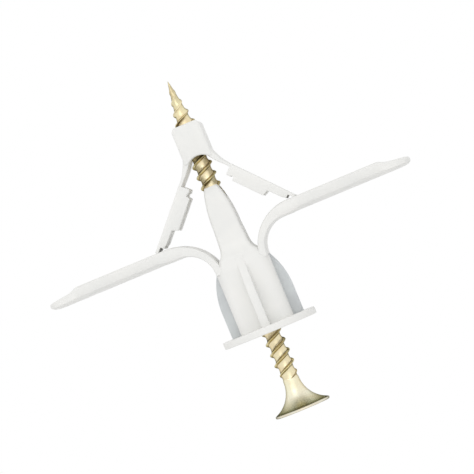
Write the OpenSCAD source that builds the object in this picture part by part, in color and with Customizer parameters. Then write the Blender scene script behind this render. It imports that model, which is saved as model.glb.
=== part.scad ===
// Plastic toggle wall anchor with its screw.
// +Z runs along the screw axis into the wall, X is the direction in which the wings spread,
// and the origin is the centre of the flange face that seats on the wall.
// The wings are drawn open, as they press on the back of the board.

/* [Flange and barrel] */
// Diameter of the flange
flange_d = 14; // [13:0.5:18]
// Thickness of the flange
flange_t = 1; // [0.8:0.1:1.5]
// Width of the barrel, across the sides that carry the arms
barrel_w = 7.9; // [7.4:0.1:9]
// Depth of the barrel from front to back
barrel_depth = 7.4; // [7:0.1:8.4]
// Radius of the barrel's corners
barrel_r = 1.5; // [0.8:0.1:2]
// Height of the barrel, from the flange to the roots of the arms
barrel_h = 9.5; // [8:0.5:16]
// Diameter of the countersink in the outer face
countersink_d = 6.4; // [5:0.2:7]

/* [Anti-rotation ribs] */
// Distance across two opposite ribs at the flange
rib_span = 10.9; // [10:0.1:12.5]
// Thickness of a rib
rib_t = 1.2; // [0.8:0.1:1.6]
// Height over which a rib keeps its full width
rib_straight_h = 4; // [2:0.5:6]

/* [Guide sleeve] */
// Width of the sleeve where it leaves the barrel
sleeve_w = 4.16; // [4:0.02:4.6]
// Width of the sleeve where its nose begins
sleeve_neck_w = 3.9; // [3.8:0.1:4.2]
// Width of the sleeve at its tip
sleeve_tip_w = 2.1; // [1.8:0.1:3]
// Depth of the sleeve from front to back
sleeve_depth = 4.8; // [4.4:0.1:5.6]
// Length of the sleeve above the barrel
sleeve_len = 11.7; // [9:0.1:14]
// Length of the sleeve's curved nose
nose_len = 6; // [3:0.1:7]

/* [Arms and wings] */
// Thickness of an arm where it leaves the barrel
arm_t = 1.2; // [1:0.1:1.4]
// Radius of the bend on the outer face of an arm
arm_bend_r = 3.85; // [3.2:0.05:4.5]
// Radius of the bend on the inner face of an arm
arm_inner_r = 6.6; // [6:0.1:7.5]
// Depth of an arm from front to back
arm_depth = 6.8; // [6:0.1:7.2]
// Distance across the tips of the two open wings
wing_span = 55; // [48:1:64]
// Thickness of a wing
wing_t = 2; // [1.6:0.1:2.4]
// Depth of a wing from front to back
wing_depth = 7.6; // [7.2:0.1:7.8]
// Radius of a wing's rounded under side, seen from its tip
belly_r = 18; // [8:1:30]
// Length of the thinned tip of a wing
wing_tip_len = 4.5; // [3:0.5:6]

/* [Struts] */
// Distance of a strut's lower hinge from the screw axis
lower_hinge_x = 10.6; // [10:0.1:12]
// Distance of a strut's upper hinge from the screw axis
upper_hinge_x = 3.8; // [3.6:0.1:4.2]
// Height of a strut's upper hinge above the wings' upper faces
upper_hinge_rise = 7.85; // [7:0.05:9]
// Thickness of a strut along its stiff middle
strut_t = 2.05; // [1.7:0.05:2.4]
// Thickness of a strut near its lower end
strut_end_t = 1.15; // [0.9:0.05:1.4]
// Depth of the struts from front to back
strut_depth = 6; // [5:0.1:6.4]
// Thickness of the film hinges
film_t = 0.42; // [0.35:0.01:0.6]

/* [Nut] */
// Width of the nut block
nut_w = 4.2; // [4.2:0.1:5]
// Depth of the nut block from front to back
nut_depth = 6.4; // [6:0.1:7.5]
// Height of the nut block
nut_h = 5.5; // [4.5:0.1:7]

/* [Screw] */
// Length of the screw
screw_len = 50.25; // [45:0.25:60]
// Outer diameter of the thread
thread_d = 3; // [2.6:0.1:3.1]
// Diameter of the screw's core
core_d = 2.1; // [1.8:0.1:2.2]
// Distance from one crest of the thread to the next
pitch = 1.6; // [1.4:0.05:1.8]
// Number of threads that run side by side
thread_starts = 2; // [1, 2]
// Diameter of the bugle head
head_d = 8.2; // [7.6:0.1:8.6]
// Distance from the flange's outer face to the head's flat face
head_standoff = 11.85; // [9:0.05:14]
// Depth of the cross recess in the head
recess_depth = 2.4; // [1.8:0.1:2.8]

/* [Hidden] */
$fn = 64;

plastic = "whitesmoke";
zinc = "#d9bd74";
eps = 0.01;             // how far a cutting tool runs past what it cuts
bore_gap = 0.1;         // radial gap between the thread and the bore it passes through
thread_gap = 0.06;      // gap between the screw's thread and the thread in the nut
rib_root = 0.4;         // how deep a rib is let into the flange
horn_angle = 15;        // how far round its bend an arm is still part of the barrel
core_gap = 0.2;         // how far the barrel's middle stands above the horns' feet

bore_r = thread_d / 2 + bore_gap;

// the arm: its outer face bends about [bend_x, barrel_h], its inner face about [inner_x, inner_z]
bend_x = barrel_w / 2 + arm_bend_r;
wing_bottom = barrel_h + arm_bend_r;
wing_top = wing_bottom + wing_t;
inner_z = wing_top - arm_inner_r;
inner_x = barrel_w / 2 - arm_t + sqrt(arm_inner_r ^ 2 - (barrel_h - inner_z) ^ 2);
shoulder_z = barrel_h + arm_bend_r * sin(horn_angle) + core_gap;
sleeve_top = barrel_h + sleeve_len;

// the strut: t runs from the upper hinge to the lower hinge, and n from the outer face inwards
upper_hinge = [upper_hinge_x, wing_top + upper_hinge_rise];
lower_hinge = [lower_hinge_x, wing_top + 0.25];
strut_run = lower_hinge - upper_hinge;
strut_len = norm(strut_run);
strut_angle = atan2(strut_run[1], strut_run[0]);
strut_top_gap = 0.3;    // film left free above the strut
strut_end_gap = 0.8;    // film left free below the strut
screw_line = 2.75;      // distance from the strut's outer face to the screw axis when it is folded
channel_r = thread_d / 2 + 0.25;

// the nut: its legs leave the block at the leg root and reach down to the upper hinge
nut_bottom = upper_hinge[1] + 2;
nut_top = nut_bottom + nut_h;
leg_root = [nut_w / 2 - 0.05, nut_bottom + 1.2];
arch_rise = 0.7;        // rise of the arch under the nut block

// the screw
head_z = -flange_t - head_standoff;
tip_z = head_z + screw_len;
rim_t = 0.35;
neck_z = head_z + 4.85; // where the bugle runs into the plain shank
point_len = 6.5;        // length of the screw's tapered point
runout = 1.6;           // height over which the thread fades in above the neck
turn_steps = 20;        // facets in a turn of the thread
lead = pitch * thread_starts;
// offset along the pitch and share of the thread's height at the four corners of its section
thread_section = [[0, 0], [0.16, 1], [0.22, 1], [0.38, 0]];

module mirrored_to(side) {
    scale_x = side == "left" ? 1 : 0;
    mirror([scale_x, 0, 0]) children();
}

// draws an outline of X and Z, made as X and Y, and gives it a depth centred on Y = 0
module front_extrude(depth) {
    rotate([90, 0, 0]) linear_extrude(depth, center = true) children();
}

module barrel_outline() {
    r = barrel_r;
    union() {
        square([barrel_w, barrel_depth - 2 * r], center = true);
        square([barrel_w - 2 * r, barrel_depth], center = true);
        for (x = [-1, 1], y = [-1, 1]) translate([x * (barrel_w / 2 - r), y * (barrel_depth / 2 - r)]) circle(r);
    }
}

// ---- flange, barrel and ribs

module flange() {
    color(plastic) difference() {
        translate([0, 0, -flange_t]) cylinder(h = flange_t, d = flange_d);
        translate([0, 0, -flange_t - eps]) linear_extrude(flange_t + 2 * eps) barrel_outline();
        for (a = [0, 90]) rotate(a)
            translate([-rib_span / 2, -rib_t / 2, -rib_root]) cube([rib_span, rib_t, rib_root + eps]);
    }
}

module arm_outline() {
    difference() {
        intersection() {
            translate([inner_x, inner_z]) circle(arm_inner_r, $fn = 128);
            translate([0, barrel_h]) square([inner_x, arm_inner_r]);
        }
        translate([bend_x, barrel_h]) circle(arm_bend_r, $fn = 128);
        translate([bend_x, barrel_h - eps]) square([inner_x - bend_x + eps, arm_bend_r + eps]);
    }
}

// the part of an arm's outline that lies within horn_angle of its foot
module horn_cut() {
    reach = 2 * arm_inner_r;
    translate([bend_x, barrel_h]) polygon([[0, 0], [-reach, 0], reach * [-cos(horn_angle), sin(horn_angle)]]);
}

module barrel() {
    color(plastic) difference() {
        union() {
            translate([0, 0, -flange_t]) linear_extrude(flange_t + barrel_h) barrel_outline();
            front_extrude(arm_depth) {
                core_w = barrel_w - 2 * arm_t;
                translate([-core_w / 2, barrel_h - eps]) square([core_w, shoulder_z - barrel_h + eps]);
                for (side = ["left", "right"]) mirrored_to(side) intersection() {
                    arm_outline();
                    horn_cut();
                }
            }
        }
        translate([0, 0, -flange_t - eps]) cylinder(h = shoulder_z + flange_t + 2 * eps, r = bore_r);
        translate([0, 0, -flange_t - eps])
            cylinder(h = countersink_d / 2 - bore_r + eps, r1 = countersink_d / 2 + eps, r2 = bore_r);
    }
}

// a rib on the +X face of a barrel that is w wide there
module rib(w) {
    reach = rib_span / 2;
    drop = reach - w / 2;
    nose_r = (drop ^ 2 + (barrel_h - rib_straight_h) ^ 2) / (2 * drop);
    color(plastic) front_extrude(rib_t) intersection() {
        translate([w / 2, -rib_root]) square([drop, barrel_h + rib_root]);
        union() {
            translate([0, -rib_root]) square([reach, rib_root + rib_straight_h]);
            translate([reach - nose_r, rib_straight_h]) circle(nose_r, $fn = 128);
        }
    }
}

// ---- guide sleeve

module sleeve_front() {
    nose_z = sleeve_top - nose_len;
    drop = (sleeve_neck_w - sleeve_tip_w) / 2;
    nose_r = (drop ^ 2 + nose_len ^ 2) / (2 * drop);
    union() {
        polygon([[-sleeve_w / 2, shoulder_z], [sleeve_w / 2, shoulder_z],
                 [sleeve_neck_w / 2, nose_z], [-sleeve_neck_w / 2, nose_z]]);
        intersection() {
            translate([-sleeve_neck_w / 2, nose_z]) square([sleeve_neck_w, nose_len]);
            translate([sleeve_neck_w / 2 - nose_r, nose_z]) circle(nose_r, $fn = 128);
            translate([nose_r - sleeve_neck_w / 2, nose_z]) circle(nose_r, $fn = 128);
        }
    }
}

module sleeve_side() {
    half = sleeve_depth / 2;
    foot = arm_depth / 2;
    polygon([[-foot, shoulder_z], [foot, shoulder_z], [half, shoulder_z + 1.6], [half, sleeve_top - 0.8],
             [half - 0.5, sleeve_top], [0.5 - half, sleeve_top], [-half, sleeve_top - 0.8], [-half, shoulder_z + 1.6]]);
}

module guide_sleeve() {
    color(plastic) difference() {
        intersection() {
            front_extrude(arm_depth) sleeve_front();
            rotate([90, 0, 90]) linear_extrude(sleeve_w, center = true) sleeve_side();
        }
        translate([0, 0, shoulder_z - eps]) cylinder(h = sleeve_top - shoulder_z + 2 * eps, r = bore_r);
    }
}

// ---- arms, wings, struts and their film hinges

module arm() {
    color(plastic) front_extrude(arm_depth) difference() {
        arm_outline();
        horn_cut();
    }
}

module wing() {
    tip = wing_span / 2;
    corner = 2.4;
    color(plastic) intersection() {
        front_extrude(wing_depth) polygon([
            [inner_x, wing_bottom], [tip - 1, wing_bottom], [tip - 0.25, wing_bottom + 0.2], [tip, wing_bottom + 0.6],
            [tip, wing_bottom + 0.85], [tip - 0.35, wing_top - 0.9], [tip - wing_tip_len + 1.2, wing_top - 0.5],
            [tip - wing_tip_len, wing_top], [inner_x, wing_top]]);
        translate([inner_x, 0, wing_bottom + belly_r]) rotate([0, 90, 0]) cylinder(h = tip, r = belly_r, $fn = 256);
        linear_extrude(wing_top + 1) union() {
            translate([0, -wing_depth / 2]) square([tip - corner, wing_depth]);
            translate([0, corner - wing_depth / 2]) square([tip, wing_depth - 2 * corner]);
            for (y = [-1, 1]) translate([tip - corner, y * (wing_depth / 2 - corner)]) circle(corner);
        }
    }
}

// places an outline of t and n in the plane of X and Z
module on_strut() {
    translate(upper_hinge) rotate(strut_angle) mirror([0, 1]) children();
}

module strut() {
    top = strut_top_gap;
    end = strut_len - strut_end_gap;
    color(plastic) difference() {
        front_extrude(strut_depth) on_strut() polygon([
            [top, 0], [end, 0], [end, strut_end_t - 0.15], [end - 0.45, strut_end_t - 0.15], [end - 0.55, strut_end_t - 0.05],
            [6.5, strut_end_t], [6.25, strut_t], [1.5, strut_t], [1.4, 1.5], [0.95, 1.5], [0.85, 1.7], [top, 1.6]]);
        rotate([90, 0, 0]) translate([upper_hinge[0], upper_hinge[1], 0]) rotate([0, 0, strut_angle])
            translate([-1, -screw_line, 0]) rotate([0, 90, 0]) cylinder(h = strut_len + 2, r = channel_r);
    }
}

module lower_film() {
    color(plastic) front_extrude(strut_depth) intersection() {
        on_strut() translate([strut_len - strut_end_gap, 0]) square([3, film_t]);
        translate([0, wing_top]) square([wing_span, nut_top]);
    }
}

module upper_film() {
    // the leg's outer face is an arc through the leg root that runs on into the strut's outer face
    outward = [-strut_run[1], strut_run[0]] / strut_len;
    from_root = upper_hinge - leg_root;
    leg_r = -(from_root * from_root) / (2 * (outward * from_root));
    color(plastic) front_extrude(strut_depth) intersection() {
        translate(upper_hinge + outward * leg_r) difference() {
            circle(leg_r + film_t, $fn = 256);
            circle(leg_r, $fn = 256);
        }
        translate([nut_w / 2, 0]) square([nut_w, leg_root[1]]);
        on_strut() translate([-6, -2]) square([6 + strut_top_gap, 4]);
    }
}

// ---- screw and nut

// share of the rod's full radius at height z, which falls to 0 at the point
function taper(z) = min(1, (tip_z - z) / point_len);
// share of the thread's full height at height z
function thread_share(z) = max(0, min(1, (z - neck_z) / runout, (tip_z - z - 0.6) / point_len * 1.3));

// a rod with a helical thread, with a flat foot and a point
module threaded_rod(core_r, crest_r, foot_z, start_z, pitches, section, point_z, plain) {
    n = turn_steps;
    rows = 4 * pitches;
    wrap = 4 * thread_starts;
    function place(m, j) =
        let (z = start_z + pitch * (floor(m / 4) + section[m % 4][0]) + lead * j / n,
             height = (crest_r - core_r) * section[m % 4][1] * (plain ? 1 : thread_share(z)),
             r = core_r * (plain ? 1 : taper(z)) + height,
             a = 360 * j / n)
        [r * cos(a), r * sin(a), z];
    function id(m, j) = j < n ? m * n + j : (m + wrap) * n + j - n;
    body = [for (m = [0:rows], j = [0:n - 1]) place(m, j)];
    ring = [for (j = [0:n - 1]) [core_r * cos(360 * j / n), core_r * sin(360 * j / n), foot_z]];
    ring_id = len(body);
    apex_id = ring_id + n;
    sides = [for (m = [0:rows - 1], j = [0:n - 1]) if (j < n - 1 || m + wrap + 1 <= rows)
             each [[id(m, j), id(m + 1, j), id(m, j + 1)], [id(m + 1, j), id(m + 1, j + 1), id(m, j + 1)]]];
    foot = [for (j = [0:n - 1]) let (k = (j + 1) % n)
            each [[ring_id + j, id(0, j), ring_id + k], [ring_id + k, id(0, j), id(0, k)]]];
    low_seam = [for (m = [0:wrap - 1]) [id(m, 0), id(0, n - 1), id(m + 1, 0)]];
    top_seam = [for (m = [rows - wrap:rows - 1]) [id(m, n - 1), id(m + 1, n - 1), id(rows, 0)]];
    cap = [for (j = [0:n - 1]) [apex_id, id(rows, (j + 1) % n), id(rows, j)]];
    polyhedron(concat(body, ring, [[0, 0, point_z]]),
               concat(sides, foot, low_seam, top_seam, cap, [[for (j = [0:n - 1]) ring_id + j]]));
}

// the rod starts inside the head, and the thread in the nut keeps the phase of the screw's rows
rod_foot = max(neck_z - 2.05, head_z + recess_depth + 0.5);
thread_start = rod_foot + 0.15;

module tap() {
    wide = 1.6 * thread_gap / pitch;
    section = [for (p = thread_section) [p[0] + (p[0] < 0.2 ? -wide : wide), p[1]]];
    skipped = floor((nut_bottom - (2 + thread_starts) * pitch - thread_start) / pitch);
    start = thread_start + pitch * skipped;
    threaded_rod(core_d / 2 + thread_gap, thread_d / 2 + thread_gap, start - 1, start,
                 ceil(nut_h / pitch) + 4 + 2 * thread_starts, section, nut_top + 8 * pitch, true);
}

module nut_block() {
    w = nut_w / 2;
    chamfer = 0.45;
    arch_half = w - 0.5;
    arch_r = (arch_half ^ 2 + arch_rise ^ 2) / (2 * arch_rise);
    color(plastic) difference() {
        front_extrude(nut_depth) difference() {
            polygon([[-w, nut_bottom], [w, nut_bottom], [w, nut_top - chamfer], [w - chamfer, nut_top],
                     [chamfer - w, nut_top], [-w, nut_top - chamfer]]);
            translate([0, nut_bottom + arch_rise - arch_r]) circle(arch_r, $fn = 128);
        }
        tap();
    }
}

module screw() {
    neck_r = core_d / 2 + 0.12;
    flare_z = head_z + rim_t;
    drop = head_d / 2 - neck_r;
    rise = neck_z - 0.4 - flare_z;
    flare_r = (drop ^ 2 + rise ^ 2) / (2 * drop);
    pitches = floor((tip_z - 0.4 - thread_start) / pitch) - thread_starts;
    color(zinc) union() {
        difference() {
            rotate_extrude() difference() {
                translate([0, head_z]) square([head_d / 2, neck_z - head_z]);
                translate([neck_r + flare_r, neck_z - 0.4]) circle(flare_r, $fn = 128);
                translate([neck_r, neck_z - 0.4 - eps]) square([head_d, 1]);
            }
            intersection() {
                union() for (a = [0, 90]) rotate(a) translate([-3, -0.5, head_z - eps]) cube([6, 1, recess_depth + eps]);
                translate([0, 0, head_z - eps]) cylinder(h = recess_depth + eps, r1 = 2.35, r2 = 0.9);
            }
            translate([0, 0, head_z - eps]) cylinder(h = recess_depth + 0.3, r1 = 1.3, r2 = 0.1);
        }
        threaded_rod(core_d / 2, thread_d / 2, rod_foot, thread_start, pitches, thread_section, tip_z, false);
    }
}

flange();
barrel();
rotate(180) rib(barrel_w);  // rib_left
rib(barrel_w);  // rib_right
rotate(-90) rib(barrel_depth);  // rib_front
rotate(90) rib(barrel_depth);  // rib_back
guide_sleeve();
mirrored_to("left") arm();  // arm_left
arm();  // arm_right
mirrored_to("left") wing();  // wing_left
wing();  // wing_right
mirrored_to("left") strut();  // strut_left
strut();  // strut_right
mirrored_to("left") lower_film();  // lower_film_left
lower_film();  // lower_film_right
mirrored_to("left") upper_film();  // upper_film_left
upper_film();  // upper_film_right
nut_block();
screw();
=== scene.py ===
# %% [markdown]
# # A toggle wall anchor and its screw
# The anchor is one white moulding: a flange, a square barrel, a guide sleeve, two wings on
# curved arms, and two struts that join the wings to a nut. A yellow-zinc screw runs through it.
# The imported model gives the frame; every piece below is made in metres in that same frame,
# with +Z along the screw into the wall and X along the open wings.

# %% load the frame
import bmesh
import bpy
import math
from mathutils import Matrix, Vector


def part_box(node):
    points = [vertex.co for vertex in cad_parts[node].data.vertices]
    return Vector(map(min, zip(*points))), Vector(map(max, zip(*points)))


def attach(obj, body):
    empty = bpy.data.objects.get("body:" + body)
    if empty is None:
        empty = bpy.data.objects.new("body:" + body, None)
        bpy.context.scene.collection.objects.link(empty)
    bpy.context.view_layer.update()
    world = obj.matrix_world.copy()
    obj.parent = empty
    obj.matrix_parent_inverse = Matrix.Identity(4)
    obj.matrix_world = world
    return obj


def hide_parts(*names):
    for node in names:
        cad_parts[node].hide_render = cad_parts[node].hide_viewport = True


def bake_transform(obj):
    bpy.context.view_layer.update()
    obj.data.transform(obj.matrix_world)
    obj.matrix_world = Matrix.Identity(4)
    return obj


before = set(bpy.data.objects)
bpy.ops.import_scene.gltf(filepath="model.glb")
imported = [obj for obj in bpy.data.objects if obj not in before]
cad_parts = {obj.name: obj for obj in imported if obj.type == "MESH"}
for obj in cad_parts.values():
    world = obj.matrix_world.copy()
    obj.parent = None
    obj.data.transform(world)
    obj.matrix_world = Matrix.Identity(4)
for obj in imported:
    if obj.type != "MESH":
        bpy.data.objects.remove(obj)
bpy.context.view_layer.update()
MM = 0.001

# %% [markdown]
# ## The sizes
# The drawing's own sizes are written once here, in millimetres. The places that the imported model
# can give are read from it, so that a piece can't drift away from the solid that it stands for.

# %% sizes
barrel_w, barrel_d, barrel_h, barrel_r = 7.9, 7.4, 9.5, 1.5
flange_r, flange_t, flange_edge = 7.0, 1.0, 0.14
rib_reach, rib_straight, rib_t, ridge_rise = 5.45, 4.0, 1.2, 1.15
bend_r, inner_r, arm_d = 3.85, 6.6, 6.8
wing_t, wing_d, belly = 2.0, 7.6, 0.4
strut_d, film_t, channel_r = 6.0, 0.42, 1.75
bore_r, countersink_r = 1.6, 3.2
sleeve_w, neck_w, tip_w, sleeve_d, nose_len = 4.16, 3.9, 2.1, 4.8, 6.0
thread_r, core_r, pitch, lead = 1.5, 1.05, 1.6, 3.2
head_r, rim_t, neck_len = 4.1, 0.35, 4.85
thread_gap = 0.06

wing_low, wing_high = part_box("wing_right")
wing_bottom, wing_top, wing_tip = wing_low.z / MM, wing_high.z / MM, wing_high.x / MM
inner_x = wing_low.x / MM
bend_x = barrel_w / 2 + bend_r
inner_z = wing_top - inner_r
sleeve_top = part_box("guide_sleeve")[1].z / MM
shoulder_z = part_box("guide_sleeve")[0].z / MM
screw_low, screw_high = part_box("screw")
head_z, tip_z = screw_low.z / MM, screw_high.z / MM
nut_low, nut_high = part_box("nut_block")
nut_w, nut_d = 2 * nut_high.x / MM, 2 * nut_high.y / MM
nut_bottom, nut_top = nut_low.z / MM, nut_high.z / MM
upper_hinge = Vector((3.8, 0, nut_bottom - 2))
lower_hinge = Vector((10.6, 0, wing_top + 0.25))
print("wing from", round(wing_bottom, 2), "to", round(wing_top, 2))
print("screw from", round(head_z, 2), "to", round(tip_z, 2))

# %% [markdown]
# ## Small tools for making pieces
# Each piece is a bmesh that is written into an object at the origin. Millimetres are turned into
# metres at that moment, so the shaping steps can use the drawing's own numbers.

# %% write a finished bmesh into an object
def write_piece(name, bm, body=None, stands_for=(), smooth=40):
    bmesh.ops.remove_doubles(bm, verts=bm.verts, dist=1e-5)
    bmesh.ops.recalc_face_normals(bm, faces=bm.faces)
    bmesh.ops.scale(bm, vec=(MM, MM, MM), verts=bm.verts)
    mesh = bpy.data.meshes.new(name)
    bm.to_mesh(mesh)
    bm.free()
    mesh.shade_smooth()
    mesh.set_sharp_from_angle(angle=math.radians(smooth))
    piece = bpy.data.objects.new(name, mesh)
    bpy.context.scene.collection.objects.link(piece)
    if body:
        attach(piece, body)
    if stands_for:
        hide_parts(*stands_for)
    print(name, len(mesh.polygons), "faces")
    return piece

# %% extrude an outline of X and Z to a depth centred on Y = 0
def extrude_outline(points, depth):
    bm = bmesh.new()
    face = bm.faces.new([bm.verts.new((x, -depth / 2, z)) for x, z in points])
    pushed = bmesh.ops.extrude_face_region(bm, geom=[face])["geom"]
    bmesh.ops.translate(bm, vec=(0, depth, 0), verts=[g for g in pushed if isinstance(g, bmesh.types.BMVert)])
    bmesh.ops.recalc_face_normals(bm, faces=bm.faces)
    return bm

# %% round the edges of a bmesh that are sharper than an angle
def round_edges(bm, width, angle=35, segments=3):
    sharp = [e for e in bm.edges if e.is_manifold and e.calc_face_angle(0) > math.radians(angle)]
    bmesh.ops.bevel(bm, geom=sharp, offset=width, offset_type="OFFSET", segments=segments, profile=0.5,
                    affect="EDGES", clamp_overlap=True, material=-1)
    return bm

# %% a loop with round corners, as a cross-section to sweep
def section_loop(bm, width, depth, radius, cuts=0, corner=4):
    made = bmesh.ops.create_grid(bm, x_segments=cuts + 1, y_segments=1, size=0.5)["verts"]
    bmesh.ops.scale(bm, vec=(width, depth, 1), verts=made)
    corners = [v for v in made if abs(abs(v.co.x) - width / 2) < 1e-6 and abs(abs(v.co.y) - depth / 2) < 1e-6]
    bmesh.ops.bevel(bm, geom=corners, offset=radius, offset_type="OFFSET", segments=corner, profile=0.5,
                    affect="VERTICES", material=-1)
    return [e for e in bm.edges if len(e.link_faces) == 1]

# %% sweep: copies of one loop are placed by a rule and bridged, and the two ends are closed
def sweep(loop_size, stations, place):
    bm = bmesh.new()
    rim = section_loop(bm, *loop_size)
    bmesh.ops.delete(bm, geom=list(bm.faces), context="FACES_ONLY")
    bmesh.ops.delete(bm, geom=[e for e in bm.edges if e not in set(rim)], context="EDGES")
    rim = list(bm.edges)
    loops = [rim]
    for _ in stations[1:]:
        copy = bmesh.ops.duplicate(bm, geom=list({v for e in rim for v in e.verts}) + rim)["geom"]
        loops.append([g for g in copy if isinstance(g, bmesh.types.BMEdge)])
    for edges, station in zip(loops, stations):
        for v in {v for e in edges for v in e.verts}:
            v.co = place(station, v.co.x, v.co.y)
    for a, b in zip(loops, loops[1:]):
        bmesh.ops.bridge_loops(bm, edges=a + b)
    for end in (loops[0], loops[-1]):
        bmesh.ops.contextual_create(bm, geom=end)
    bmesh.ops.recalc_face_normals(bm, faces=bm.faces)
    return bm

# %% cut one bmesh with others, through a boolean modifier on a stand-in object
def cut(bm, *cutters):
    stand_in = bpy.data.objects.new("stand_in", bpy.data.meshes.new("stand_in"))
    bm.to_mesh(stand_in.data)
    bm.free()
    bpy.context.scene.collection.objects.link(stand_in)
    tools = []
    for cutter in cutters:
        tool = bpy.data.objects.new("cutter", bpy.data.meshes.new("cutter"))
        cutter.to_mesh(tool.data)
        cutter.free()
        bpy.context.scene.collection.objects.link(tool)
        step = stand_in.modifiers.new("cut", "BOOLEAN")
        step.operation, step.solver, step.object = "DIFFERENCE", "EXACT", tool
        tools.append(tool)
    done = bmesh.new()
    done.from_object(stand_in, bpy.context.evaluated_depsgraph_get())
    for thing in [stand_in] + tools:
        mesh = thing.data
        bpy.data.objects.remove(thing)
        bpy.data.meshes.remove(mesh)
    return done

# %% a solid of revolution about Z from a few radius and height pairs
def turned(profile, steps=64):
    bm = bmesh.new()
    line = [bm.verts.new((r, 0, z)) for r, z in profile]
    edges = [bm.edges.new(pair) for pair in zip(line, line[1:])]
    bmesh.ops.spin(bm, geom=line + edges, cent=(0, 0, 0), axis=(0, 0, 1), angle=math.tau, steps=steps, use_merge=True)
    bmesh.ops.remove_doubles(bm, verts=bm.verts, dist=1e-5)
    bmesh.ops.recalc_face_normals(bm, faces=bm.faces)
    return bm

def arc(centre, radius, start, end, steps):
    """Points on an arc in the XZ plane, with angles in degrees from +X towards +Z."""
    turn = [math.radians(start + (end - start) * i / steps) for i in range(steps + 1)]
    return [(centre[0] + radius * math.cos(a), centre[1] + radius * math.sin(a)) for a in turn]

# %% [markdown]
# ## The flange
# The flange is a thin disc that stops the anchor in its hole. Its rim is rounded by the mould, so
# the profile is spun with a small arc at each edge, and the middle is open for the barrel.

# %% flange
def make_flange():
    r, t, e = flange_r, flange_t, flange_edge
    rim = arc((r - e, -t + e), e, -90, 0, 5) + arc((r - e, -e), e, 0, 90, 5)
    profile = [(3.3, -t)] + rim + [(3.3, 0), (3.3, -t)]
    return write_piece("flange_disc", turned(profile, 96), "collar", ["flange"])

flange = make_flange()

# %% [markdown]
# ## The barrel and the guide sleeve
# The barrel is a square tube with soft corners. Above it a shoulder slopes back to the sleeve, which
# guides the screw and ends in two tongues, because its nose is narrower than the bore. One loop
# swept up the axis gives the whole outer skin, and the bore is cut through it afterwards.

# %% barrel and sleeve
def nose_width(z):
    rise = max(0.0, z - (sleeve_top - nose_len))
    drop = (neck_w - tip_w) / 2
    nose_r = (drop ** 2 + nose_len ** 2) / (2 * drop)
    return neck_w - 2 * (nose_r - math.sqrt(nose_r ** 2 - rise ** 2))

def make_barrel():
    s = shoulder_z
    rows = [(-1, barrel_w, barrel_d, barrel_r), (barrel_h - 0.3, barrel_w, barrel_d, barrel_r),
            (barrel_h, barrel_w - 0.1, barrel_d - 0.1, barrel_r),
            (barrel_h + 0.05, barrel_w - 0.4, barrel_d - 0.14, barrel_r - 0.1), (barrel_h + 0.5, 6.9, barrel_d - 0.3, 1.1)]
    # the shoulder: rise above its foot, width, depth and corner radius
    rows += [(s + rise, w, d, r) for rise, w, d, r in (
        (-0.35, 6.3, arm_d - 0.04, 0.8), (-0.02, 6.0, arm_d - 0.1, 0.7), (0.22, 5.6, arm_d - 0.22, 0.6),
        (0.42, 5.2, arm_d - 0.4, 0.55), (0.66, 4.86, arm_d - 0.7, 0.5), (0.95, 4.58, arm_d - 1.05, 0.45),
        (1.35, 4.36, sleeve_d + 0.55, 0.42), (1.8, 4.24, sleeve_d + 0.25, 0.4), (2.4, sleeve_w, sleeve_d + 0.04, 0.4))]
    neck = sleeve_top - nose_len
    rows += [(neck, neck_w, sleeve_d, 0.4)]
    rows += [(neck + nose_len * k / 10, nose_width(neck + nose_len * k / 10), sleeve_d, 0.4) for k in range(1, 9)]
    rows += [(sleeve_top - 0.3, nose_width(sleeve_top - 0.3) - 0.05, sleeve_d - 0.5, 0.35),
             (sleeve_top, tip_w - 0.2, sleeve_d - 1.0, 0.3)]

    def place(row, u, v):
        z, w, d, r = row
        # the loop's corners keep their radius while its straight sides take the width and the depth
        x = math.copysign(max(0, w / 2 - r) + (abs(u) - 3) * r, u) if abs(u) > 3 else u / 3 * (w / 2 - r)
        y = math.copysign(max(0, d / 2 - r) + (abs(v) - 3) * r, v) if abs(v) > 3 else v / 3 * (d / 2 - r)
        return Vector((x, y, z))

    bm = sweep((8, 8, 1, 3, 6), rows, place)
    bore = turned([(0, -2), (bore_r, -2), (bore_r, sleeve_top + 1), (0, sleeve_top + 1)], 48)
    sink = turned([(0, -1.01), (countersink_r + 0.01, -1.01), (bore_r - 0.02, -1 + countersink_r - bore_r),
                   (0, 1)], 48)
    return write_piece("barrel_and_sleeve", cut(bm, bore, sink), "collar", ["barrel", "guide_sleeve"])

barrel = make_barrel()

# %% [markdown]
# ## The ribs
# Four thin ribs stand on the barrel and bite into the edge of the hole, so that the anchor can't
# turn with the screw. Each is a flat outline, extruded and rounded along its free edge.

# %% ribs
def rib_points(face, runs_on):
    reach, straight, drop = rib_reach, rib_straight, rib_reach - face
    nose_r = (drop ** 2 + (barrel_h - straight) ** 2) / (2 * drop)
    curve = arc((reach - nose_r, straight), nose_r, 0, math.degrees(math.asin((barrel_h - straight) / nose_r)), 14)
    head = [(face - 0.36, barrel_h + ridge_rise)] if runs_on else []
    return [(face - 0.6, -0.4), (reach, -0.4)] + curve + head + [(face - 0.6, barrel_h + (1.1 if runs_on else 0))]

ribs = []
for name, turn, face in (("right", 0, barrel_w / 2), ("back", 90, barrel_d / 2),
                         ("left", 180, barrel_w / 2), ("front", 270, barrel_d / 2)):
    bm = extrude_outline(rib_points(face, name in ("front", "back")), rib_t)
    round_edges(bm, 0.3, 50, 3)
    bmesh.ops.rotate(bm, cent=(0, 0, 0), matrix=Matrix.Rotation(math.radians(turn), 3, "Z"), verts=bm.verts)
    ribs.append(write_piece("rib_" + name, bm, "collar", ["rib_" + name]))
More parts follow.
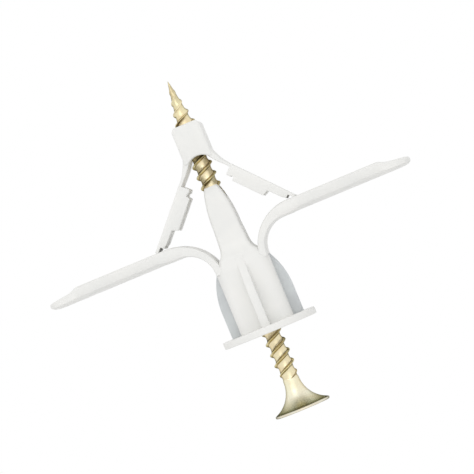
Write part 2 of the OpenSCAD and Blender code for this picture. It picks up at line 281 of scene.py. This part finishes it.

# %% [markdown]
# ## The arms and the wings
# Each wing is carried by a curved arm that bends like a leaf spring. The arm and the wing are one
# sweep, so the skin runs on without a seam. The loop has a few cuts along its width, which let the
# wing's underside belly out, and many stations round the bend.

# %% arms and wings
def arm_stations(count=26):
    """Pairs of points on the outer and the inner face of the arm, from the barrel to the wing."""
    low = math.degrees(math.asin((barrel_h - inner_z) / inner_r))
    bend_len, flat_len = bend_r * math.pi / 2, inner_x - bend_x
    pairs = []
    for i in range(count + 1):
        s = i / count
        run = s * (bend_len + flat_len)
        if run < bend_len:
            a = run / bend_r
            outer = (bend_x - bend_r * math.cos(a), barrel_h + bend_r * math.sin(a))
        else:
            outer = (bend_x + run - bend_len, wing_bottom)
        a = math.radians(low + (90 - low) * s)
        inner = (inner_x - inner_r * math.cos(a), inner_z + inner_r * math.sin(a))
        pairs.append((outer, inner, arm_d + (wing_d - arm_d) * max(0, s * 2 - 1) ** 2, 0.0))
    return pairs

def wing_stations():
    """The same pairs along the wing, out to its thin rounded tip."""
    pairs = []
    tip = wing_tip
    # place along X, how far the lower and the upper face move in, and the share of the full width
    for x, low, high, width in (
            (11.0, 0, 0, 1), (14.0, 0, 0, 1), (17.5, 0, 0, 1), (21.0, 0, 0, 1), (tip - 4.7, 0, 0, 1),
            (tip - 4.4, 0, 0.04, 1), (tip - 3.8, 0, 0.28, 1), (tip - 3.3, 0, 0.46, 1), (tip - 2.9, 0, 0.54, 1),
            (tip - 2.4, 0, 0.6, 0.995), (tip - 1.9, 0, 0.66, 0.975), (tip - 1.4, 0.01, 0.72, 0.93),
            (tip - 0.9, 0.05, 0.78, 0.86), (tip - 0.5, 0.12, 0.84, 0.77), (tip - 0.2, 0.25, 0.93, 0.66),
            (tip - 0.05, 0.4, 1.03, 0.57), (tip, 0.55, 1.12, 0.5)):
        pairs.append(((x, wing_bottom + low), (x, wing_top - high), wing_d * width, 1.0))
    return pairs

def place_on_arm(station, u, v):
    # u runs across the wing from -0.5 to 0.5 and v runs from its outer face to its inner face
    (xo, zo), (xi, zi), depth, bellied = station
    share = v + 0.5
    x, z = xo + (xi - xo) * share, zo + (zi - zo) * share
    thick = math.hypot(xi - xo, zi - zo)
    lift = belly * bellied * (2 * u) ** 2 * (1 - share) * min(1, thick / wing_t)
    return Vector((x, u * depth, z + lift))

def mirror_left(bm, side):
    """1 for the right side; the left side is turned over, and gives -1."""
    if side == "right":
        return 1
    bmesh.ops.scale(bm, vec=(-1, 1, 1), verts=bm.verts)
    return -1

arm_line = arm_stations()
(outer_x, _), (root_x, _) = arm_line[0][:2]
sunk_root = ((outer_x, barrel_h - 0.35), (root_x, barrel_h - 0.35), arm_d - 0.02, 0)

def make_wing(side):
    bm = sweep((1, 1, 0.12, 7, 4), [sunk_root] + arm_line + wing_stations(), place_on_arm)
    sx = mirror_left(bm, side)
    wing = write_piece("wing_and_arm_" + side, bm, None, ["arm_" + side, "wing_" + side])
    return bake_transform(wing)

wings = [make_wing(side) for side in ("left", "right")]

# %% [markdown]
# ## The struts
# A strut is a stiff bar with a thin film at each end, where the plastic bends. The stiff middle is
# thicker on its inner side and ends in steps. A half-round channel down the inner face clears the
# screw when the anchor is folded. The lower film is part of the same mesh, and blends to the wing.

# %% struts
run = lower_hinge - upper_hinge
strut_len = run.length
along = run.normalized()
inward = Vector((along.z, 0, -along.x))

def make_strut(side):
    top, end = 0.3, strut_len - 0.8
    film = [strut_len - 0.8 + 0.12 * k for k in range(0, 9)]
    skin = [(top, 0.0)] + [(end, 0.0)] + [(t, 0.0) for t in film[1:]]
    under = [(t, film_t) for t in reversed(film)]
    inner = [(end, 1.0), (end - 0.45, 1.0), (end - 0.55, 1.1), (6.55, 1.15), (6.3, 2.05), (1.5, 2.05), (1.4, 1.5),
             (0.95, 1.5), (0.85, 1.7), (top, 1.6)]
    points = [upper_hinge + along * t + inward * n for t, n in skin + under + inner]
    bm = extrude_outline([(p.x, p.z) for p in points], strut_d)
    round_edges(bm, 0.11, 40, 2)
    mid = upper_hinge + inward * 2.75
    channel = bmesh.new()
    lean = Vector((0, 0, 1)).rotation_difference(along).to_matrix().to_4x4()
    bmesh.ops.create_cone(channel, cap_ends=True, segments=40, radius1=channel_r, radius2=channel_r,
                          depth=2 * strut_len, matrix=Matrix.Translation(mid) @ lean)
    bm = cut(bm, channel)
    sx = mirror_left(bm, side)
    strut = write_piece("strut_and_film_" + side, bm, None, ["strut_" + side, "lower_film_" + side])
    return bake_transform(strut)

struts = [make_strut(side) for side in ("left", "right")]

# %% [markdown]
# ## The nut
# The nut is a block that the screw draws towards the flange. Two legs flare out of its sides, thin
# down, and become the upper film hinges. The block is an outline with an arched underside, and
# each leg is a sweep along its arc.

# %% nut block
def make_nut():
    w, c, rise = nut_w / 2, 0.45, 0.7
    half = w - 0.5
    arch_r = (half ** 2 + rise ** 2) / (2 * rise)
    swing = math.degrees(math.asin(half / arch_r))
    arch = arc((0, nut_bottom + rise - arch_r), arch_r, 90 + swing, 90 - swing, 12)
    crown = [(w, nut_top - c), (w - c, nut_top), (c - w, nut_top), (-w, nut_top - c)]
    points = [(-w, nut_bottom)] + arch + [(w, nut_bottom)] + crown
    bm = extrude_outline(points, nut_d)
    round_edges(bm, 0.2, 40, 3)
    hole_r = thread_r + thread_gap
    bore = turned([(0, nut_bottom - 1), (hole_r, nut_bottom - 1), (hole_r, nut_top + 1), (0, nut_top + 1)], 48)
    return write_piece("nut_body", cut(bm, bore), "nut", ["nut_block"])

nut = make_nut()

# %% nut legs
leg_root = Vector((nut_w / 2 - 0.05, 0, nut_bottom + 1.2))
outward = -inward
from_root = upper_hinge - leg_root
leg_r = -from_root.length_squared / (2 * outward.dot(from_root))
leg_centre = upper_hinge + outward * leg_r

def make_leg(side):
    first = leg_root - leg_centre
    last = upper_hinge + along * 0.3 - leg_centre
    a0, a1 = math.atan2(first.z, first.x), math.atan2(last.z, last.x)
    a0, a1 = a0 % math.tau, a1 % math.tau
    stations = []
    for k in range(13):
        s = k / 12
        a = a0 + (a1 - a0) * s
        thick = film_t + 0.75 * (1 - min(1, s * 1.15)) ** 1.3
        stations.append((Vector((math.cos(a), 0, math.sin(a))), thick))

    def place(station, u, v):
        ray, thick = station
        return leg_centre + ray * (leg_r + thick * (v + 0.5)) + Vector((0, u * strut_d, 0))

    bm = sweep((1, 1, 0.1, 0, 3), stations, place)
    mirror_left(bm, side)
    return write_piece("nut_leg_" + side, bm, "nut", ["upper_film_" + side])

legs = [make_leg(side) for side in ("left", "right")]

# %% [markdown]
# ## The screw
# The thread is a steep one with two starts, so two crests side by side are spun about the axis
# while they climb. Where the thread runs out, and along the point, a rule pulls the skin in towards
# the core and the axis. The bugle head is turned, and the cross recess is cut into it.

# %% threaded shank
neck_z = head_z + neck_len

def unit(x):
    return max(0.0, min(1.0, x))

def core_rule(z):
    """The core's radius at a height: it thickens into the head and runs out in a point."""
    return core_r * unit((tip_z - z) / 6.5) ** 0.8 + 0.12 * unit((neck_z + 0.2 - z) / 0.8)

def crest_rule(z):
    """Share of the thread's height that is left at a height."""
    return unit((z - neck_z + 0.3) / 1.9) ** 0.7 * unit((tip_z - z - 0.2) / 6.0) ** 1.25

def make_shank():
    steps, start, phase = 36, neck_z - 1.2, 0.45
    turns = math.ceil((tip_z - start) / lead) + 1
    # one crest: a hollow root, a steep flank below and a slightly flatter one above a narrow crest
    crest = [(0.0, 0.0), (0.03, 0.16), (0.13, 0.32), (0.28, 0.43), (0.405, 0.49), (0.45, 0.535), (0.44, 0.58),
             (0.33, 0.64), (0.17, 0.75), (0.05, 0.94), (0.0, 1.2)]
    bm = bmesh.new()
    line = [bm.verts.new((core_r + r, 0, start - lead - phase + z + first))
            for first in (0, pitch) for r, z in crest]
    line.append(bm.verts.new((core_r, 0, start - phase)))
    edges = [bm.edges.new(pair) for pair in zip(line, line[1:])]
    bmesh.ops.spin(bm, geom=line + edges, cent=(0, 0, 0), axis=(0, 0, 1), dvec=(0, 0, lead / steps),
                   angle=math.tau * turns, steps=steps * turns, use_merge=False)
    bmesh.ops.remove_doubles(bm, verts=bm.verts, dist=1e-4)
    for z, side in ((start, False), (tip_z - 0.03, True)):
        bmesh.ops.bisect_plane(bm, geom=bm.verts[:] + bm.edges[:] + bm.faces[:], plane_co=(0, 0, z),
                               plane_no=(0, 0, 1), clear_inner=not side, clear_outer=side)
    for v in bm.verts:
        r = math.hypot(v.co.x, v.co.y)
        new = max(0.02, core_rule(v.co.z) + max(0.0, r - core_r) * crest_rule(v.co.z))
        v.co.x, v.co.y = v.co.x * new / r, v.co.y * new / r
    ends = [e for e in bm.edges if e.is_boundary]
    bmesh.ops.holes_fill(bm, edges=ends, sides=0)
    return write_piece("screw_thread", bm, "screw", ["screw"], smooth=50)

shank = make_shank()

# %% bugle head
def make_head():
    neck_r = core_r + 0.12
    flare_z = head_z + rim_t
    drop, rise = head_r - neck_r, neck_z - 0.4 - flare_z
    flare_r = (drop ** 2 + rise ** 2) / (2 * drop)
    swing = math.degrees(math.asin(rise / flare_r))
    flare = arc((neck_r + flare_r, neck_z - 0.4), flare_r, 180 + swing, 180, 20)
    profile = [(0, head_z), (head_r - 0.12, head_z), (head_r, head_z + 0.1), (head_r, flare_z - 0.05)] + flare[1:]
    profile += [(neck_r - 0.02, neck_z - 0.2), (core_r, neck_z), (0, neck_z)]
    bm = turned(profile, 80)
    cross = []
    for turn in (0, 90):
        slot_bm = bmesh.new()
        bmesh.ops.create_cube(slot_bm, size=1, matrix=Matrix.Rotation(math.radians(turn), 4, "Z")
                              @ Matrix.Translation((0, 0, head_z + 1.2)) @ Matrix.Diagonal((6, 1.0, 2.42, 1)))
        for v in slot_bm.verts:
            if v.co.z > head_z + 1.2:
                v.co.x, v.co.y = v.co.x * 0.45, v.co.y * 0.45
            elif abs(v.co.x) > 1 or abs(v.co.y) > 1:
                v.co.x = math.copysign(min(abs(v.co.x), 2.3), v.co.x)
                v.co.y = math.copysign(min(abs(v.co.y), 2.3), v.co.y)
        cross.append(slot_bm)
    pit = turned([(0, head_z - 0.01), (1.25, head_z - 0.01), (0.3, head_z + 2.5), (0, head_z + 2.7)], 32)
    return write_piece("screw_head", cut(bm, cross[0], cross[1], pit), "screw", smooth=35)

head = make_head()

# %% [markdown]
# ## Finishes
# Moulded plastic isn't one flat colour: it has faint flow marks and a fine matt grain. The two side
# ribs take a darker, blue-grey copy of the plastic, which is painted shade. Yellow zinc plating
# drifts in tone, and on the screw light and shade are painted in by the distance from the screw's
# axis: pale on the core, a brown band of painted shade at the foot of the thread, and painted dark
# reflections in olive towards the rim of the head.
# The drift and the grain are node groups, so that each finish can use them with its own values.

# %% node groups
def new_group(name, inputs, outputs):
    group = bpy.data.node_groups.new(name, "ShaderNodeTree")
    for kind, label, value in inputs:
        socket = group.interface.new_socket(label, in_out="INPUT", socket_type=kind)
        socket.default_value = value
    for kind, label in outputs:
        group.interface.new_socket(label, in_out="OUTPUT", socket_type=kind)
    return group, group.nodes.new("NodeGroupInput"), group.nodes.new("NodeGroupOutput")

def drift_group():
    """Two tones that drift into each other over the surface, and a roughness that follows them."""
    group, gin, gout = new_group("tone_drift",
        [("NodeSocketColor", "Tone A", (0.8, 0.8, 0.8, 1)), ("NodeSocketColor", "Tone B", (0.8, 0.8, 0.8, 1)),
         ("NodeSocketFloat", "Scale", 300.0), ("NodeSocketFloat", "Rough low", 0.4),
         ("NodeSocketFloat", "Rough high", 0.5)],
        [("NodeSocketColor", "Color"), ("NodeSocketFloat", "Roughness")])
    n, l = group.nodes, group.links
    coord = n.new("ShaderNodeTexCoord")
    noise = n.new("ShaderNodeTexNoise")
    noise.inputs["Detail"].default_value = 4
    noise.inputs["Distortion"].default_value = 0.6
    spread = n.new("ShaderNodeMapRange")
    spread.inputs["From Min"].default_value, spread.inputs["From Max"].default_value = 0.35, 0.65
    mix = n.new("ShaderNodeMix")
    mix.data_type = "RGBA"
    rough = n.new("ShaderNodeMapRange")
    l.new(coord.outputs["Object"], noise.inputs["Vector"])
    l.new(gin.outputs["Scale"], noise.inputs["Scale"])
    l.new(noise.outputs["Fac"], spread.inputs["Value"])
    l.new(spread.outputs["Result"], mix.inputs["Factor"])
    l.new(gin.outputs["Tone A"], mix.inputs["A"])
    l.new(gin.outputs["Tone B"], mix.inputs["B"])
    l.new(spread.outputs["Result"], rough.inputs["Value"])
    l.new(gin.outputs["Rough low"], rough.inputs["To Min"])
    l.new(gin.outputs["Rough high"], rough.inputs["To Max"])
    l.new(mix.outputs["Result"], gout.inputs["Color"])
    l.new(rough.outputs["Result"], gout.inputs["Roughness"])
    return group

def grain_group():
    """A fine grain as a height, for a Bump node."""
    group, gin, gout = new_group("fine_grain",
        [("NodeSocketFloat", "Scale", 4000.0), ("NodeSocketFloat", "Stretch", 1.0)], [("NodeSocketFloat", "Height")])
    n, l = group.nodes, group.links
    coord = n.new("ShaderNodeTexCoord")
    scale = n.new("ShaderNodeCombineXYZ")
    scale.inputs["X"].default_value = scale.inputs["Y"].default_value = 1
    stretch = n.new("ShaderNodeVectorMath")
    stretch.operation = "MULTIPLY"
    noise = n.new("ShaderNodeTexNoise")
    noise.inputs["Detail"].default_value = 3
    l.new(gin.outputs["Stretch"], scale.inputs["Z"])
    l.new(coord.outputs["Object"], stretch.inputs[0])
    l.new(scale.outputs["Vector"], stretch.inputs[1])
    l.new(stretch.outputs["Vector"], noise.inputs["Vector"])
    l.new(gin.outputs["Scale"], noise.inputs["Scale"])
    l.new(noise.outputs["Fac"], gout.inputs["Height"])
    return group

def painted_light_by_radius(name, bands):
    """Light and shade painted onto the plating by distance from the screw's axis, as a share of the outer radius."""
    group, gin, gout = new_group(name,
        [("NodeSocketFloat", "Outer radius", head_r * MM)], [("NodeSocketColor", "Color")])
    n, l = group.nodes, group.links
    coord, flat, length = n.new("ShaderNodeTexCoord"), n.new("ShaderNodeVectorMath"), n.new("ShaderNodeVectorMath")
    flat.operation, length.operation = "MULTIPLY", "LENGTH"
    flat.inputs[1].default_value = (1, 1, 0)
    share, ramp = n.new("ShaderNodeMath"), n.new("ShaderNodeValToRGB")
    share.operation = "DIVIDE"
    while len(ramp.color_ramp.elements) < len(bands):
        ramp.color_ramp.elements.new(0.5)
    for stop, (at, tone) in zip(ramp.color_ramp.elements, bands):
        stop.position, stop.color = at, (*tone, 1)
    l.new(coord.outputs["Object"], flat.inputs[0])
    l.new(flat.outputs["Vector"], length.inputs[0])
    l.new(length.outputs["Value"], share.inputs[0])
    l.new(gin.outputs["Outer radius"], share.inputs[1])
    l.new(share.outputs[0], ramp.inputs["Fac"])
    l.new(ramp.outputs["Color"], gout.inputs["Color"])
    return group

drift, grain = drift_group(), grain_group()
# painted light: pale near the head's neck, then dark olive to near-black towards the rim as painted dark reflections;
# the rim's face is pale again
head_painted_light = painted_light_by_radius("painted_light_on_head", (
    (0.25, (0.93, 0.88, 0.64)), (0.45, (0.95, 0.93, 0.76)), (0.62, (0.80, 0.78, 0.58)),
    (0.82, (0.58, 0.57, 0.39)), (0.962, (0.20, 0.20, 0.115)), (0.985, (0.84, 0.81, 0.68))))
# painted shade: the thin brown band at the foot of the thread stands for shade in the thread's roots
thread_painted_light = painted_light_by_radius("painted_light_on_thread", (
    (0.30, (0.66, 0.59, 0.37)), (0.55, (0.88, 0.80, 0.52)), (0.765, (0.86, 0.77, 0.53)),
    (0.79, (0.22, 0.14, 0.06)), (0.83, (0.74, 0.65, 0.36)), (0.97, (0.92, 0.85, 0.56))))

# %% materials
def finish(name, tone_a, tone_b, drift_scale, rough, grain_scale, grain_depth, metallic=0.0):
    material = bpy.data.materials.new(name)
    material.use_nodes = True
    n, l = material.node_tree.nodes, material.node_tree.links
    shader = n["Principled BSDF"]
    tones = n.new("ShaderNodeGroup")
    tones.node_tree = drift
    tones.inputs["Tone A"].default_value, tones.inputs["Tone B"].default_value = (*tone_a, 1), (*tone_b, 1)
    tones.inputs["Scale"].default_value = drift_scale
    tones.inputs["Rough low"].default_value, tones.inputs["Rough high"].default_value = rough
    fine = n.new("ShaderNodeGroup")
    fine.node_tree = grain
    fine.inputs["Scale"].default_value = grain_scale
    bump = n.new("ShaderNodeBump")
    bump.inputs["Distance"].default_value = grain_depth
    bump.inputs["Strength"].default_value = 1.0
    l.new(tones.outputs["Color"], shader.inputs["Base Color"])
    l.new(tones.outputs["Roughness"], shader.inputs["Roughness"])
    l.new(fine.outputs["Height"], bump.inputs["Height"])
    l.new(bump.outputs["Normal"], shader.inputs["Normal"])
    shader.inputs["Metallic"].default_value = metallic
    return material

white_plastic = finish("white_plastic", (0.815, 0.81, 0.785), (0.785, 0.785, 0.765),
                       220, (0.42, 0.55), 9000, 0.0000008)
# painted shade: a darker, blue-grey copy of the white plastic, for the two side ribs that stand in shade
painted_shade_rib_plastic = finish("painted_shade_rib_plastic", (0.61, 0.64, 0.645), (0.555, 0.575, 0.585), 260, (0.4, 0.5), 9000, 0.0000012)

def plated(name, bands, outer_radius, rough):
    material = finish(name, (1.0, 1.0, 1.0), (0.98, 0.92, 0.88), 500, rough, 12000, 0.0000004, metallic=1.0)
    n, l = material.node_tree.nodes, material.node_tree.links
    # the colour by radius, which paints light and shade, multiplies the plating's drifting tone
    tone, tint = n.new("ShaderNodeGroup"), n.new("ShaderNodeMix")
    tone.node_tree = bands
    tone.inputs["Outer radius"].default_value = outer_radius * MM
    tint.data_type, tint.blend_type = "RGBA", "MULTIPLY"
    tint.inputs["Factor"].default_value = 1.0
    drifting = next(node for node in n if node.type == "GROUP" and node.node_tree == drift)
    l.new(tone.outputs["Color"], tint.inputs["A"])
    l.new(drifting.outputs["Color"], tint.inputs["B"])
    l.new(tint.outputs["Result"], n["Principled BSDF"].inputs["Base Color"])
    # the reflection darkens towards the silhouette
    n["Principled BSDF"].inputs["Specular Tint"].default_value = (0.04, 0.04, 0.015, 1)
    return material

thread_zinc = plated("zinc_on_thread", thread_painted_light, thread_r, (0.28, 0.36))
head_zinc = plated("zinc_on_head", head_painted_light, head_r, (0.36, 0.44))

for piece in [flange, barrel, nut] + wings + struts + legs + [ribs[1], ribs[3]]:
    piece.data.materials.append(white_plastic)
# the two side ribs take the darker copy of the plastic, as painted shade
for piece in (ribs[0], ribs[2]):
    piece.data.materials.append(painted_shade_rib_plastic)
shank.data.materials.append(thread_zinc)
head.data.materials.append(head_zinc)

# %% [markdown]
# ## Stage, light and camera
# The background is plain white to the camera and in reflections, while the floor still takes the
# object's shadow. The room is a little darker behind, and a large soft lamp from above and a weaker
# one from low in front give the plastic its faint shading.

# %% floor and world
def seen_rays(nodes, links):
    """1 for the rays that see the background: straight from the camera, reflected, or passed through."""
    path, total = nodes.new("ShaderNodeLightPath"), None
    for ray in ("Is Camera Ray", "Is Glossy Ray", "Is Transmission Ray"):
        if total is None:
            total = path.outputs[ray]
            continue
        either = nodes.new("ShaderNodeMath")
        either.operation = "MAXIMUM"
        links.new(total, either.inputs[0])
        links.new(path.outputs[ray], either.inputs[1])
        total = either.outputs[0]
    return total

def stage_white(name):
    material = bpy.data.materials.new(name)
    material.use_nodes = True
    n, l = material.node_tree.nodes, material.node_tree.links
    mix, white = n.new("ShaderNodeMixShader"), n.new("ShaderNodeEmission")
    n["Principled BSDF"].inputs["Base Color"].default_value = (0.95, 0.95, 0.95, 1)
    l.new(seen_rays(n, l), mix.inputs[0])
    l.new(n["Principled BSDF"].outputs[0], mix.inputs[1])
    l.new(white.outputs[0], mix.inputs[2])
    l.new(mix.outputs[0], n["Material Output"].inputs["Surface"])
    return material

floor_bm = bmesh.new()
bmesh.ops.create_grid(floor_bm, x_segments=1, y_segments=1, size=0.6, matrix=Matrix.Translation((0, 0, -0.045)))
floor_mesh = bpy.data.meshes.new("floor")
floor_bm.to_mesh(floor_mesh)
floor_bm.free()
floor = bpy.data.objects.new("floor", floor_mesh)
bpy.context.scene.collection.objects.link(floor)
floor.data.materials.append(stage_white("floor_white"))

world = bpy.data.worlds.new("studio")
bpy.context.scene.world = world
world.use_nodes = True
wn, wl = world.node_tree.nodes, world.node_tree.links
room = wn["Background"]
room.inputs["Color"].default_value = (1, 1, 1, 1)
heading, split, level = wn.new("ShaderNodeTexCoord"), wn.new("ShaderNodeSeparateXYZ"), wn.new("ShaderNodeMapRange")
level.inputs["From Min"].default_value, level.inputs["From Max"].default_value = -1, 1
level.inputs["To Min"].default_value, level.inputs["To Max"].default_value = 1.06, 0.68
wl.new(heading.outputs["Generated"], split.inputs[0])
wl.new(split.outputs["Y"], level.inputs["Value"])
wl.new(level.outputs["Result"], room.inputs["Strength"])
seen = wn.new("ShaderNodeBackground")
seen.inputs["Color"].default_value, seen.inputs["Strength"].default_value = (1, 1, 1, 1), 1.0
which = wn.new("ShaderNodeMixShader")
wl.new(seen_rays(wn, wl), which.inputs[0])
wl.new(room.outputs[0], which.inputs[1])
wl.new(seen.outputs[0], which.inputs[2])
wl.new(which.outputs[0], wn["World Output"].inputs["Surface"])

# %% lamps
def soft_lamp(name, place, size, power):
    lamp = bpy.data.lights.new(name, "AREA")
    lamp.shape, lamp.size, lamp.energy = "DISK", size, power
    stand = bpy.data.objects.new(name, lamp)
    stand.location = place
    stand.rotation_euler = (-Vector(place)).to_track_quat("-Z", "Y").to_euler()
    bpy.context.scene.collection.objects.link(stand)
    return stand

soft_lamp("key_light", (-0.10, -0.40, 0.30), 0.40, 0.28)
soft_lamp("low_light", (0.06, -0.38, -0.02), 0.35, 0.10)

# %% camera
target = Vector((0.65, 0, 13.2)) * MM
azimuth, elevation, roll = math.radians(4.0), math.radians(-1.1), math.radians(22.5)
lens = 220
distance = 0.0672 * lens / 36
flat_reach = math.cos(elevation)
away = Vector((math.sin(azimuth) * flat_reach, -math.cos(azimuth) * flat_reach, math.sin(elevation)))
camera = bpy.data.objects.new("camera", bpy.data.cameras.new("camera"))
camera.data.lens = lens
camera.data.clip_start = 0.01
camera.location = target + away * distance
camera.rotation_euler = ((-away).to_track_quat("-Z", "Y").to_matrix() @ Matrix.Rotation(-roll, 3, "Z")).to_euler()
bpy.context.scene.collection.objects.link(camera)
bpy.context.scene.camera = camera
bpy.context.scene.view_settings.view_transform = "Standard"
